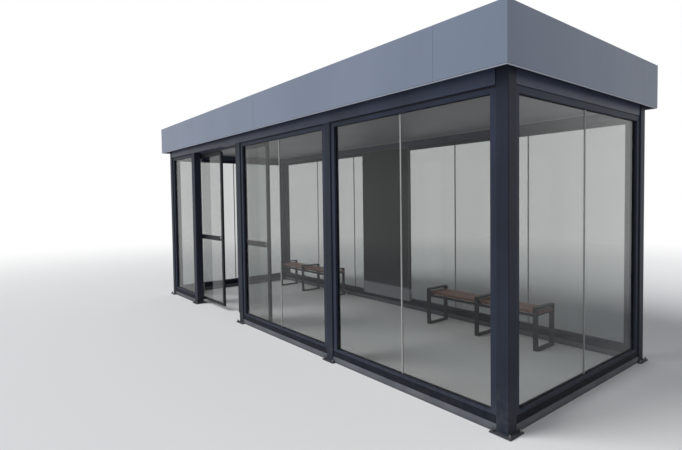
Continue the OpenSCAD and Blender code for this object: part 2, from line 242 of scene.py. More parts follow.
# Posts. Square steel tubes, blasted and powder coated in a dark blue grey, with a faint peel in the
# coat, rain streaks down them and dust splashed up from the paving.
def powder_coat(name, colour, dusty, splash_top=0.5, rough=0.42, shine=0.2):
    """A coat of baked powder: cloudy in shade, streaked along Z, dusty towards the ground."""
    material, place = finish(name)
    height = place.part("Z")
    cloud = place.noise(1.8, 4)
    streaks = place.stretched((1, 1, 0.03)).noise(55, 4)
    peel = place.noise(700, 2)
    splash = height.step(splash_top, 0.0) * place.noise(23, 6).step(0.3, 0.75)
    shade = (cloud * 0.7 + streaks * 0.3).step(0.34, 0.66)
    dark, light = rgb(*(c * 0.9 for c in colour)), rgb(*(min(c * 1.1, 255) for c in colour))
    base = (splash * 0.4).tint(shade.tint(dark, light), rgb(*dusty))
    return coat(material, peel * 0.25 + cloud * 0.4, 0.0008, Base_Color=base,
                Roughness=rough + 0.12 * streaks + 0.3 * splash, Specular_IOR_Level=shine)


post_coat = powder_coat("post_coat", (37, 42, 53), (84, 83, 82), shine=0.12)
posts = [name for name in parts if name.startswith("post_")]
dress(post_coat, *posts)

# Base plates. Steel plates under the posts, coated with them, each held down by four anchors: a
# threaded stud set in the paving, a washer and a nut, all zinc plated.
plate_coat = powder_coat("plate_coat", (56, 60, 69), (104, 101, 96), 0.03, 0.5)
dress(plate_coat, "base_plates")


def round_angles(sides):
    """Evenly spaced angles, once round."""
    return np.arange(sides) * 2 * pi / sides


def turned(rings, sides):
    """A profile of (radius, height) rings turned about Z: x = r cos a, y = r sin a, z = h."""
    radius, height = np.array(rings, float).T
    angle = round_angles(sides)
    return np.stack([np.outer(radius, np.cos(angle)), np.outer(radius, np.sin(angle)),
                     np.outer(height, np.ones(sides))], axis=-1)


def placed(grid, places):
    """Copies of a grid of points, one at each place."""
    return grid[None] + np.array(places, float)[:, None, None, :]


def quads(rows, columns, closed_rows):
    """The faces of a grid of points, as indices. Each point joins the next in its row and column, the
    last column joins the first, and so does the last row the first where closed_rows says so."""
    index = np.arange(rows * columns).reshape(rows, columns)
    index = np.hstack([index, index[:, :1]])
    if closed_rows:
        index = np.vstack([index, index[:1]])
    return np.stack([index[:-1, :-1], index[:-1, 1:], index[1:, 1:], index[1:, :-1]], -1).reshape(-1, 4)


def volume(points, faces):
    """Six times the volume that these faces enclose, positive where they face outwards."""
    first, corners = points[faces[:, 0]], faces.shape[1]
    return sum(np.einsum("ij,ij->", first, np.cross(points[faces[:, k]], points[faces[:, k + 1]]))
               for k in range(1, corners - 1))


def piece(name, grids, material, body="shelter", round_rows=False, sharp=35):
    """One mesh from grids of points. Each closes along its columns, and along its rows too where
    round_rows says so; else a flat face closes either end. Leading axes of a grid are copies."""
    points, faces, count = [], [], 0
    for grid in grids:
        rows, columns = grid.shape[-3:-1]
        sides, ring = quads(rows, columns, round_rows), np.arange(columns)
        ends = [] if round_rows else [ring[::-1], ring + (rows - 1) * columns]
        for copy in grid.reshape(-1, rows * columns, 3):
            centred = copy - copy.mean(0)
            inside_out = volume(centred, sides) + sum(volume(centred, end[None]) for end in ends) < 0
            faces += [(face[::-1] if inside_out else face) + count for face in (*sides, *ends)]
            points.append(copy)
            count += rows * columns
    mesh = bpy.data.meshes.new(name)
    mesh.from_pydata(np.concatenate(points).tolist(), [], [face.tolist() for face in faces])
    mesh.polygons.foreach_set("use_smooth", np.ones(len(faces), bool))
    mesh.set_sharp_from_angle(angle=radians(sharp))
    mesh.materials.append(material)
    made = bpy.data.objects.new(name, mesh)
    scene.collection.objects.link(made)
    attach(made, body)


def bright_metal(name, colour, rough, scale):
    """Plated or bare metal: a metallic shade that clouds a little, with a rougher skin in patches."""
    material, place = finish(name)
    cloud = place.noise(scale, 4)
    dark, light = rgb(*(c * 0.82 for c in colour)), rgb(*colour)
    return coat(material, cloud, 0.0002, Base_Color=cloud.step(0.3, 0.7).tint(dark, light),
                Roughness=rough + 0.2 * cloud, Metallic=1.0)


def hexagon(across, angle):
    """The distance from the centre to a hexagon's edge: half its width across flats, over the cosine
    of the angle from the middle of the nearest flat."""
    return across / 2 / np.cos(angle % (pi / 3) - pi / 6)


def nut(across, high, bore, low, sides=24):
    """A hexagon nut: rings from its bore out over two chamfered faces, and back down the bore."""
    angle = round_angles(sides)
    edge, hole = hexagon(across, angle), np.full(sides, bore)
    chamfer = np.minimum(edge, across / 2 * 1.03)
    rings = [(hole, low), (chamfer, low), (edge, low + high * 0.12), (edge, low + high * 0.86),
             (chamfer, low + high), (hole, low + high)]
    return np.array([np.stack([r * np.cos(angle), r * np.sin(angle), np.full(sides, z)], -1)
                     for r, z in rings])


def thread(radius, pitch, low, high, sides=16):
    """A threaded rod: the radius dips by 0.6 pitch as the angle and the height go round the helix."""
    height = np.arange(low, high, pitch / 4)
    angle = round_angles(sides)
    phase = (height[:, None] / pitch - angle[None] / (2 * pi)) % 1
    r = radius - 0.6 * pitch * np.abs(phase - 0.5)
    rod = np.stack([r * np.cos(angle), r * np.sin(angle), np.broadcast_to(height[:, None], r.shape)], -1)
    tip = np.stack([0.8 * radius * np.cos(angle), 0.8 * radius * np.sin(angle), np.full(sides, high)], -1)
    return np.concatenate([rod, tip[None]])


plate_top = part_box("base_plates")[1].z
hole_pitch, stud_r, thread_pitch, stud_low, stud_high = 0.132, 0.006, 0.00175, 0.001, 0.024
washer_r, washer_thick, washer_bevel, rim_low, rim_high = 2 * stud_r, 0.0025, 0.0004, 0.0006, 0.002
nut_across, nut_high, bore_share = 0.018, 0.010, 0.92
post_places = [(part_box(name)[0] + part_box(name)[1]) / 2 for name in posts]
anchor_places = [(p.x + sx * hole_pitch / 2, p.y + sy * hole_pitch / 2, plate_top)
                 for p in post_places for sx in (-1, 1) for sy in (-1, 1)]
washer = turned([(stud_r, 0), (washer_r - washer_bevel, 0), (washer_r, rim_low), (washer_r, rim_high),
                 (washer_r - washer_bevel, washer_thick), (stud_r, washer_thick)], 24)
anchor_nut = nut(nut_across, nut_high, stud_r * bore_share, washer_thick)
zinc_plate = bright_metal("zinc_plate", (134, 135, 134), 0.38, 90)
piece("anchor_washers_and_nuts", [placed(washer, anchor_places), placed(anchor_nut, anchor_places)],
      zinc_plate, round_rows=True)
stud = thread(stud_r, thread_pitch, stud_low, stud_high)
piece("anchor_studs", [placed(stud, anchor_places)], zinc_plate)

# Bottom rails and window frames. Extruded aluminium profiles, coated like the posts, mitred and
# screwed between them. The rails are hollow boxes on the kerb.
rail_coat = powder_coat("rail_coat", (25, 29, 38), (62, 62, 63), 0.30, shine=0.06)
# The frames' coat is painted a shade lighter than the posts: painted light on the frame faces.
frame_coat_painted_light = powder_coat("frame_coat_painted_light", (44, 50, 64), (84, 83, 82), 0.30, shine=0.12)
dress(rail_coat, "rail_front", "rail_rear")
dress(frame_coat_painted_light, "frame_bay_near", "frame_bay_middle", "frame_side_light", "frame_end_near",
      "frame_end_far", "frame_back")


# Wall glass. Toughened panes 8 mm thick, faintly grey green, that mirror the studio at a flat angle.
# Dust thins out over the lowest quarter of a metre, and wiping has left faint marks.
def pane_glass(name, clear, dust_low, dust_high):
    """Glass that lets light straight through with a tint and holds dust. Of light that meets it head on
    each face mirrors 0.02, and towards a grazing angle the rest by the fifth power of 1 - cosine."""
    material, place = finish(name)
    smears = place.noise(5, 4)
    window = place.add("ShaderNodeBsdfTransparent", None, {"Color": clear})
    mirror = place.add("ShaderNodeBsdfAnisotropic", None,
                       {"Color": plain_white, "Roughness": smears.step(0.45, 0.8) * 0.03 + 0.01})
    grazing = place.add("ShaderNodeLayerWeight", None, {"Blend": 0.5}, 1)
    share = grazing ** 5 * 0.9 + 0.02
    dust = place.add("ShaderNodeBsdfDiffuse", None, {"Color": rgb(190, 188, 182)})
    film = place.part("Z").step(dust_high, dust_low) * place.noise(30, 6).step(0.25, 0.8)
    show((film * 0.08 + smears.step(0.5, 0.85) * 0.004).shaders(share.shaders(window, mirror), dust))
    return material


sill_z, dust_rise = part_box("frame_bay_near")[0].z, 0.25
wall_glass = pane_glass("wall_glass", (0.78, 0.79, 0.785, 1), sill_z, sill_z + dust_rise)
dress(wall_glass, "glass_bay_near", "glass_bay_middle", "glass_side_light", "glass_end_near",
      "glass_end_far", "glass_back")

# Glazing gaskets. Black rubber strips pressed in between each frame and its glass on both faces,
# with a lip on the glass and a rounded back, mitred in the corners. A hollowed bead of black sealant
# closes the corner between each frame and the steel round it.
half_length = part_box("post_near_front")[1].x
half_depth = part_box("post_near_rear")[1].y


def wall_front(u, d, z):
    """A point in the front wall's frame: u along it, d inwards from the posts' outer face, z up."""
    return np.stack(np.broadcast_arrays(u, -half_depth + d, z), -1)


def wall_back(u, d, z):
    """The same in the back wall."""
    return np.stack(np.broadcast_arrays(u, half_depth - d, z), -1)


def wall_near_end(u, d, z):
    """The same in the near end wall."""
    return np.stack(np.broadcast_arrays(half_length - d, u, z), -1)


def wall_far_end(u, d, z):
    """The same in the far end wall."""
    return np.stack(np.broadcast_arrays(-half_length + d, u, z), -1)


# Each framed opening: its wall, its two ends along it, its foot and its head, and its count of panes.
stile, sill, frame_head = 0.050, 0.027, 0.050
glass_out = half_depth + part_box("glass_bay_near")[0].y
glass_in = half_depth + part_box("glass_bay_near")[1].y
openings = []
for name, wall, axis, count in (
        ("frame_bay_near", wall_front, 0, 2), ("frame_bay_middle", wall_front, 0, 2),
        ("frame_side_light", wall_front, 0, 1), ("frame_end_near", wall_near_end, 1, 2),
        ("frame_end_far", wall_far_end, 1, 2), ("frame_back", wall_back, 0, 6)):
    low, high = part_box(name)
    openings.append((wall, low[axis] + stile, high[axis] - stile,
                     low.z + sill, high.z - frame_head, count))
gasket_back = np.array([(0.0, 0.0050), (0.0018, 0.0048), (0.0032, 0.0038), (0.0038, 0.0024),
                        (0.0042, 0.0004), (0.0, 0.0004)])


def gasket(wall, start, end, low, high, face, away, profile=gasket_back):
    """A profile of (distance from the frame, distance from the glass) carried round a rectangle: each
    of the four corners steps inwards by the first, and the depth is face + away times the second."""
    corners = np.array([(start, low, 1, 1), (end, low, -1, 1), (end, high, -1, -1), (start, high, 1, -1)])
    inset, rise = profile.T
    u = corners[:, :1] + corners[:, 2:3] * inset
    z = corners[:, 1:2] + corners[:, 3:] * inset
    return wall(u, np.broadcast_to(face + away * rise, u.shape), z)


rubber, place = finish("black_rubber")
skin = place.noise(180, 3)
coat(rubber, skin, 0.0002, Base_Color=skin.tint(rgb(17, 19, 25), rgb(31, 34, 42)),
     Roughness=0.6 + skin * 0.2, Specular_IOR_Level=0.2)
piece("glazing_gaskets",
      [gasket(wall, start, end, low, high, face, away) for wall, start, end, low, high, count in openings
       for face, away in ((glass_out, -1), (glass_in, 1))],
      rubber, round_rows=True)
frame_face = half_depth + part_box("frame_bay_near")[0].y
# The black bead also stands in for the shadow line round each frame, as painted shade.
bead_leg, bead_hollow = 0.004, 0.0014
bead = np.array([(0, 0), (bead_leg, 0), (bead_hollow, bead_hollow), (0, bead_leg)])
piece("sealant_beads_and_shadow_lines",
      [gasket(wall, start - stile, end + stile, low - sill, high + frame_head, frame_face, -1, bead)
       for wall, start, end, low, high, count in openings],
      rubber, round_rows=True)

# Glass joints. Milky plastic strips with an H section, extruded, cut to the height of the glass and
# pushed onto the edges of two panes where they meet.
rebate, edge_gap, joint = 0.012, 0.002, 0.004
strip_half, strip_web, strip_flange, strip_round, strip_fit = 0.007, 0.0019, 0.0013, 0.0006, 0.0001
strip_flat = strip_half * 0.8
depth_out, depth_in = glass_out - strip_flange, glass_in + strip_flange
half_strip = np.array([(strip_flat, depth_out), (strip_half, depth_out + strip_round),
                       (strip_half, glass_out - strip_fit), (strip_web, glass_out - strip_fit),
                       (strip_web, glass_in + strip_fit), (strip_half, glass_in + strip_fit),
                       (strip_half, depth_in - strip_round), (strip_flat, depth_in)])
strip_profile = np.concatenate([half_strip, half_strip[::-1] * (-1, 1)])


def upright_strip(wall, u, low, high, profile):
    """A profile of (along the wall, depth) carried up from low to high."""
    along, depth = profile.T
    levels = np.array([[low], [high]])
    return wall(u + along + 0 * levels, depth + 0 * levels, levels + 0 * along)


milky, place = finish("milky_plastic")
clouding = place.stretched((1, 1, 0.2)).noise(40, 3)
coat(milky, Base_Color=clouding.tint(rgb(150, 154, 152), rgb(180, 184, 182)), Roughness=0.35, Alpha=0.65)
joints = []
for wall, start, end, low, high, count in openings:
    first, last = start - rebate + edge_gap, end + rebate - edge_gap
    pane = (last - first - (count - 1) * joint) / count
    joints += [upright_strip(wall, first + i * pane + (i - 0.5) * joint, low, high, strip_profile)
               for i in range(1, count)]
piece("glass_joint_strips", joints, milky)

# Info board. A laminated panel in near black, screwed to the inside of the back frame in a thin
# anodised edge, and a paler grey panel of the same make that fills the foot below it.
board_black, place = finish("board_laminate")
smears = place.stretched((1, 1, 0.6)).noise(9, 5)
laminate = smears.step(0.3, 0.8).tint(rgb(27, 28, 32), rgb(36, 38, 43))
coat(board_black, place.noise(900, 2), 0.00015, Base_Color=laminate, Roughness=0.24 + smears * 0.18)
board_grey, place = finish("board_foot_laminate")
scuffs = place.stretched((0.3, 1, 1)).noise(60, 5).step(0.56, 0.7)
coat(board_grey, scuffs, 0.0003, Base_Color=scuffs.tint(rgb(134, 136, 141), rgb(112, 113, 116)),
     Roughness=0.5 + scuffs * 0.2)
dress(board_black, "info_board")
dress(board_grey, "info_board_base")
anodised = bright_metal("anodised_edge", (108, 110, 114), 0.3, 30)
edge_wide, edge_rise, edge_round = 0.016, 0.002, 0.0008
edge_profile = np.array([(0, 0), (0, edge_rise * 0.6), (edge_round, edge_rise),
                         (edge_wide - edge_round, edge_rise), (edge_wide, edge_rise * 0.6), (edge_wide, 0)])
board_low, board_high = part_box("info_board")
board_face = half_depth - board_low.y
board_edge = gasket(wall_back, board_low.x, board_high.x, board_low.z, board_high.z, board_face, 1,
                    edge_profile)
piece("info_board_edge", [board_edge], anodised, round_rows=True)


def dome(radius, high, sides=16):
    """A round screw head: a quarter ellipse from its rim to its crown, turned about Z."""
    lift = np.radians([0, 25, 50, 72, 88])
    return turned(np.stack([radius * np.cos(lift), high * np.sin(lift)], -1), sides)


def fixed(wall, grid, spots, away=1):
    """Copies of a grid whose own Z stands out of a wall, at spots of (along, depth, height)."""
    x, y, out = np.moveaxis(grid, -1, 0)
    u, d, z = np.array(spots, float).T[:, :, None, None]
    return wall(u + x, d + away * out, z + y)


screw_r, screw_high, screw_inset, board_rows = 0.0055, 0.0022, 0.03, 6
board_spots = [(x, board_face, z) for x in (board_low.x + screw_inset, board_high.x - screw_inset)
               for z in np.linspace(board_low.z + screw_inset, board_high.z - screw_inset, board_rows)]
piece("info_board_screws", [fixed(wall_back, dome(screw_r, screw_high), board_spots)], zinc_plate)

# Head beams. The same coat as the posts on a box section that ties their tops, painted a shade lighter
# than the posts as painted light. In front a folded sheet covers the beams and the tops of the inner posts,
# so that one band runs from corner to corner, and black seals close the step to the frames and stand in for
# its shadow line.
head_coat_painted_light = powder_coat("head_coat_painted_light", (54, 61, 80), (112, 110, 106), 0.01, 0.34, 0.25)
dress(head_coat_painted_light, "head_front", "head_back", "head_ends")
head_low, head_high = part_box("head_front")
cover_thick, cover_return, cover_edge, cover_gap = 0.0015, 0.0105, 0.0005, 0.0005
cover_high = head_high.z - head_low.z - cover_gap
cover_face = np.array([(0, 0), (0, cover_high), (-cover_thick, cover_high), (-cover_thick, cover_thick),
                       (-cover_thick + cover_edge, cover_edge), (-cover_thick / 2, 0)])
cover_fold = np.array([(0, 0), (cover_return, 0), (cover_return, cover_thick), (0, cover_thick)])
front_posts = sorted((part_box(name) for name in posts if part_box(name)[1].y < 0), key=lambda ends: ends[0].x)
spans = [(left[1].x, right[0].x) for left, right in zip(front_posts, front_posts[1:])]


def bar(profile, start, end, side=(0, 1, 0), up=(0, 0, 1)):
    """A profile of (sideways, upwards) distances carried straight from start to end: each point is the
    end's own, plus the first distance along side and the second along up."""
    aside, above = profile.T[:, :, None]
    section = aside * np.array(side) + above * np.array(up)
    return np.stack([section + np.array(start), section + np.array(end)])


piece("head_cover",
      [bar(profile, (start, -half_depth, head_low.z), (end, -half_depth, head_low.z))
       for profile, runs in ((cover_face, [(spans[0][0], spans[-1][1])]), (cover_fold, spans))
       for start, end in runs], head_coat_painted_light)
# The head seals are black rubber, made deep enough to stand in for the shadow line under the head as painted
# shade.
seal_high, seal_thick, seal_round = 0.014, 0.004, 0.0015
head_seal = np.array([(0, 0), (-seal_thick, 0), (-seal_thick, seal_round - seal_high),
                      (-seal_thick + seal_round, -seal_high), (0, -seal_high)])
seal_y = frame_face - half_depth
piece("head_seals_and_shadow_line",
      [bar(head_seal, (start - stile, seal_y, head_low.z), (end + stile, seal_y, head_low.z))
       for wall, start, end, low, high, count in openings if wall is wall_front], rubber)

# Roof steel. Beams and joists above the ceiling that carry the deck, dipped in hot zinc, which has
# set in frosted flakes.
galvanised, place = finish("galvanised_steel")
flakes = place.add("ShaderNodeTexVoronoi", None, {"Vector": place, "Scale": 70.0}, 1).part("X")
zinc = flakes.tint(rgb(138, 142, 146), rgb(182, 186, 190))
coat(galvanised, Base_Color=zinc, Roughness=0.38 + flakes * 0.2, Metallic=0.85)
dress(galvanised, "roof_beams", "roof_joists")

# Ceiling. Pale sandwich panels laid across the shelter, their joints closed by a rounded plastic
# cover strip and their ends by a trim along the walls.
ceiling_skin, place = finish("ceiling_skin")
cloud = place.noise(1.1, 3)
panel_grey = cloud.step(0.3, 0.7).tint(rgb(142, 141, 145), rgb(156, 155, 158))
coat(ceiling_skin, place.noise(500, 2) + cloud * 4, 0.0003, Base_Color=panel_grey, Roughness=0.5)
dress(ceiling_skin, "ceiling")
ceiling_low, ceiling_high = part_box("ceiling")
strip_wide, strip_drop, strip_edge, ceiling_panels = 0.030, 0.0022, 0.0002, 6
across = np.linspace(-1, 1, 9)
arch = np.stack([across * strip_wide / 2, -strip_drop * (1 - across ** 4) - strip_edge], -1)
joint_strip = np.concatenate([arch, [(strip_wide / 2, 0), (-strip_wide / 2, 0)]])
joint_xs = np.linspace(ceiling_low.x, ceiling_high.x, ceiling_panels + 1)[1:-1]
covers = [bar(joint_strip, (x, ceiling_low.y, ceiling_low.z), (x, ceiling_high.y, ceiling_low.z), (1, 0, 0))
          for x in joint_xs]
pale_strip, place = finish("pale_strip")
coat(pale_strip, Base_Color=place.noise(20, 3).tint(rgb(152, 151, 154), rgb(168, 167, 169)), Roughness=0.5)
piece("ceiling_joint_covers", covers, pale_strip)


def around(half_x, half_y, levels, profile):
    """A profile of (inset, rise) carried round a rectangle about the origin, mitred in the corners.
    levels are the heights of its front and back sides."""
    corners = np.array([(-1, -1), (1, -1), (1, 1), (-1, 1)])
    inset, rise = profile.T
    base = np.array([levels[0], levels[0], levels[1], levels[1]])
    return np.stack([corners[:, :1] * (half_x - inset), corners[:, 1:] * (half_y - inset),
                     base[:, None] + rise], -1)


trim_wide, trim_high, trim_thick = 0.018, 0.014, 0.002
trim_profile = np.array([(0, 0), (0, -trim_high), (trim_thick, -trim_high), (trim_thick, -trim_thick),
                         (trim_wide, -trim_thick), (trim_wide, 0)])
edge_trim = around(ceiling_high.x, ceiling_high.y, (ceiling_low.z, ceiling_low.z), trim_profile)
piece("ceiling_edge_trim", [edge_trim], pale_strip, round_rows=True, sharp=20)

# Soffit. Strips of steel sheet, coated dark, that close the overhang from below between the fascia and the
# head beams. The dark coat is partly painted shade, for the shade under the overhang.
soffit_coat_painted_shade = powder_coat("soffit_coat_painted_shade", (50, 53, 60), (90, 90, 90), 0.01, 0.5)
dress(soffit_coat_painted_shade, "soffit")

# Roof deck. A ribbed, coated steel skin that falls to the back, patchy and streaked along the fall.
# Screws with washers hold it to the joists, and an upstand closes its edge.
deck_coat, place = finish("deck_coat")
runs = place.stretched((1, 0.06, 0.06)).noise(26, 5)
grit = place.noise(240, 5)
weathered = (runs * 0.45 + grit * 0.55).step(0.3, 0.7).tint(rgb(138, 141, 145), rgb(150, 152, 154))
coat(deck_coat, grit, 0.0004, Base_Color=weathered, Roughness=0.5 + runs * 0.15)
dress(deck_coat, "roof_deck")
deck_low, deck_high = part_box("roof_deck")
joist_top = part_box("roof_joists")[1].z
deck_front, deck_back, rib_pitch, flats_each_way = 0.090, 0.060, 0.333, 10
screw_rows, screw_aside, screw_clear = (-1.1, -0.4, 0.3, 1.0), 0.09, 0.05


def deck_level(y):
    """Height of the deck's flat at y: it falls evenly from the front to the back edge."""
    return joist_top + np.interp(y, (deck_low.y, deck_high.y), (deck_front, deck_back))


flat_middles = (np.arange(-flats_each_way, flats_each_way) + 0.5) * rib_pitch
deck_spots = [(x + aside, y, deck_level(y)) for x in flat_middles for aside in (-screw_aside, screw_aside)
              for y in screw_rows if abs(x + aside) < deck_high.x - screw_clear]
screw_washer = turned([(0.0095, 0), (0.0098, 0.0012), (0.0075, 0.002)], 12)
screw_hex = turned([(0.0055, 0.002), (0.0055, 0.0062), (0.0045, 0.0068)], 6)
piece("deck_screws", [placed(screw_washer, deck_spots), placed(screw_hex, deck_spots)],
      zinc_plate)
upstand_high, upstand_thick, upstand_foot = 0.055, 0.0012, 0.045
upstand_profile = np.array([(0, 0), (0, upstand_high), (upstand_thick, upstand_high), (0.0016, 0.004),
                            (upstand_foot, 0.0025), (upstand_foot, 0)])
upstand = around(deck_high.x, deck_high.y, (deck_level(deck_low.y), deck_level(deck_high.y)),
                 upstand_profile)
piece("deck_upstand", [upstand], deck_coat, round_rows=True, sharp=20)

# Roof outlets. Two cast iron strainers, one near each rear corner, where the deck drains to, each on a
# round flange in the flat inside the outermost rib.
outlet_flat, outlet_inset = 9, 0.09
grate_r, grate_high, grate_slots = 0.055, 0.05, 12


def strainer(radius, high, slots, sides=96, rings=13):
    """A domed grate: a quarter ellipse turned about Z, from its rim almost to its crown, with the
    radius pinched by the square of a cosine at each slot, and less towards the crown."""
    angle = round_angles(sides)
    lift = np.linspace(0, 1, rings)[:, None] * pi / 2 * 0.97
    pinch = 1 - 0.12 * np.maximum(np.cos(slots * angle), 0) ** 2 * np.cos(lift)
    r = radius * np.cos(lift) * pinch
    return np.stack([r * np.cos(angle), r * np.sin(angle), high * np.sin(lift) + 0 * r], -1)


outlet_y = half_depth - outlet_inset
outlet_places = [(sx * outlet_flat * rib_pitch, outlet_y, deck_level(outlet_y)) for sx in (-1, 1)]
cast_iron = powder_coat("cast_grate", (48, 50, 54), (110, 106, 100), 0.01, 0.6)
flange = turned([(0.085, 0), (0.085, 0.004), (0.078, 0.006), (0.056, 0.006)], 48)
grate = strainer(grate_r, grate_high, grate_slots)
piece("roof_outlets", [placed(grate, outlet_places), placed(flange, outlet_places)], cast_iron)

# Fascia. Smooth painted sheet, folded over the roof edge and hemmed below. It waves very slightly
# between its fixings, and rain has left faint streaks under the top edge. Near each corner a filled
# joint runs down the front and the back.
filled_joint, joint_half = 2.75, 0.0018
fascia_paint, place = finish("fascia_paint")
waves = place.stretched((1, 1, 0.6)).noise(0.9, 2)
drips = place.stretched((1, 1, 0.02)).noise(34, 5)
fascia_low, fascia_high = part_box("fascia_front")
under_edge = place.part("Z").step(fascia_low.z, fascia_high.z)
stain = drips.step(0.5, 0.8) * (0.08 + under_edge * 0.3)
speck = place.noise(420, 2)
clean = (waves * 0.7 + speck * 0.3).step(0.3, 0.7).tint(rgb(108, 118, 136), rgb(116, 126, 144))
from_joint = abs(abs(place.part("X")) - filled_joint)
filler = from_joint.step(joint_half * 1.4, joint_half * 0.8)
streaked = (stain * 0.3).tint(clean, rgb(96, 103, 115))
coat(fascia_paint, waves * 6 + speck * 0.12 - filler * 0.4, 0.0016,
     Base_Color=filler.tint(streaked, rgb(92, 100, 116)),
     Roughness=0.40 + stain * 0.2 + speck * 0.06, Specular_IOR_Level=0.35)
dress(fascia_paint, "fascia_front", "fascia_back", "fascia_ends")
fold, lip, hem_high = 0.002, 0.011, 0.0075
half_turn = np.linspace(0, pi, 7)
hem_middle, hem_half = (fold + lip) / 2, (lip - fold) / 2
hem_profile = np.stack([hem_middle - np.cos(half_turn) * hem_half, -np.sin(half_turn) * hem_high], -1)
roof_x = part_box("fascia_ends")[1].x
# The hem is the fascia's own sheet, painted paler than its face: a painted highlight along the lower edge.
hem_painted_highlight, place = finish("hem_painted_highlight")
coat(hem_painted_highlight, Base_Color=place.noise(30, 3).tint(rgb(150, 156, 168), rgb(162, 168, 179)), Roughness=0.4)
hem = around(roof_x, -fascia_low.y, (fascia_low.z, fascia_low.z), hem_profile)
piece("fascia_hem", [hem], hem_painted_highlight, round_rows=True)
# A strip of the same sheet stands behind the open joint in the middle of the front and the back.
backing_half, backing_thick, sheet_thick = 0.025, 0.0015, 0.004
backing = np.array([(-backing_half, 0), (backing_half, 0), (backing_half, backing_thick),
                    (-backing_half, backing_thick)])
backing_y = -fascia_low.y - sheet_thick
backing_low, backing_high = fascia_low.z + sheet_thick, fascia_high.z - sheet_thick
piece("fascia_joint_backing",
      [bar(backing, (0, sy * backing_y, backing_low), (0, sy * backing_y, backing_high),
           (1, 0, 0), (0, -sy, 0)) for sy in (-1, 1)], fascia_paint)

# Door track and guides. A slotted box section, screwed to the inside of the head beam and capped at
# its open end, carries the leaves. A folded shoe on each door post keeps their feet in line.
track_coat = powder_coat("track_coat", (56, 60, 70), (112, 110, 106), 0.12)
dress(track_coat, "door_track", "floor_guides")
track_low, track_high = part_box("door_track")
track_face = half_depth + track_high.y
cap_thick, cap_round = 0.002, 0.003
cap_half, cap_rise = (track_high.y - track_low.y) / 2, (track_high.z - track_low.z) / 2


def rounded(half_x, half_y, corner, steps=5):
    """The outline of a rectangle with rounded corners, about its middle: each corner is a quarter
    circle, its centre plus the corner's radius along (cos a, sin a)."""
    quarter = np.linspace(0, pi / 2, steps)
    turns = ((1, 1, 0), (-1, 1, pi / 2), (-1, -1, pi), (1, -1, 3 * pi / 2))
    return np.concatenate([np.stack([sx * (half_x - corner) + corner * np.cos(quarter + turn),
                                     sy * (half_y - corner) + corner * np.sin(quarter + turn)], -1)
                           for sx, sy, turn in turns])


track_middle = (track_low + track_high) / 2
track_cap = bar(rounded(cap_half, cap_rise, cap_round), (track_high.x, track_middle.y, track_middle.z),
                (track_high.x + cap_thick, track_middle.y, track_middle.z))
black_plastic, place = finish("black_plastic")
grain = place.noise(600, 2)
coat(black_plastic, grain, 0.0002, Base_Color=grain.tint(rgb(28, 29, 31), rgb(40, 41, 43)), Roughness=0.5)
piece("track_end_cap", [track_cap], black_plastic)
first_screw, screw_pitch, track_screw_r, track_screw_high = 0.2, 0.45, 0.006, 0.003
track_screws = [(x, track_face, track_middle.z)
                for x in np.arange(track_low.x + first_screw, track_high.x, screw_pitch)]
piece("track_screws", [fixed(wall_front, dome(track_screw_r, track_screw_high), track_screws)],
      zinc_plate)

# Door leaves. Slim coated frames with a glass pane each, hung from two rollers, with a flat push bar
# and a small lock at hand height. Brushes close the gaps where the leaves meet and over their tops.
# The leaves' coat is painted darker than the wall frames, as painted shade of the shelter's inside.
leaf_coat_painted_shade = powder_coat("leaf_coat_painted_shade", (29, 31, 37), (88, 86, 82), 0.3)
leaf_glass = pane_glass("leaf_glass", (0.80, 0.81, 0.805, 1), 0.09, 0.35)
leaf_stile, leaf_sill, leaf_head, glass_groove, gasket_share = 0.045, 0.030, 0.045, 0.007, 0.8
push_low, push_high, push_stop, push_off, push_cap_thick = 1.020, 1.085, 0.070, 0.0064, 0.003
lock_wide, lock_high, lock_off = 0.055, 0.040, 0.012
hanger_inset, hanger_r, hanger_nut_high = 0.120, 0.006, 0.009
pile_out, pile_wide, pile_short, head_brush_off = 0.002, 0.009, 0.01, 0.0115
satin_steel = bright_metal("satin_steel", (196, 196, 192), 0.26, 200)
# The keyhole is a thin near-black plate on the lock: painted shade standing in for the hole.
keyhole_painted_shade, place = finish("keyhole_shade_paint")
coat(keyhole_painted_shade, Base_Color=place.noise(100, 2).tint(rgb(8, 8, 9), rgb(16, 16, 17)), Roughness=0.8)


def brushes(name, comb):
    """Dark bristles side by side, fine along the axis that comb stretches."""
    material, place = finish(name)
    bristle = place.stretched(comb).noise(260, 2)
    fibre = bristle.tint(rgb(20, 20, 22), rgb(58, 58, 60))
    return coat(material, bristle, 0.0006, Base_Color=fibre, Roughness=0.9)


def stacked(outline, levels):
    """An outline of (x, y) carried up through levels of (scale, height): x and y times the scale."""
    return np.stack([np.column_stack([outline * scale, np.full(len(outline), height)])
                     for scale, height in levels])


push_cap = rounded(0.0052, (push_high - push_low) / 2, 0.002)
lock_rose = turned([(0.0115, 0), (0.0115, 0.003), (0.0105, 0.004), (0.0065, 0.0045)], 32)
lock_plate = stacked(rounded(0.020, 0.014, 0.004), [(1.0, 0.0), (1.0, 0.001), (0.95, 0.0016)])
keyhole = stacked(rounded(0.0011, 0.0038, 0.001), [(1.0, 0.0044), (0.9, 0.0048)])
hanger_nut = nut(nut_across, hanger_nut_high, hanger_r * bore_share, 0.0)
brush_pile, head_pile = brushes("brush_pile", (1, 1, 12)), brushes("head_pile", (12, 1, 1))
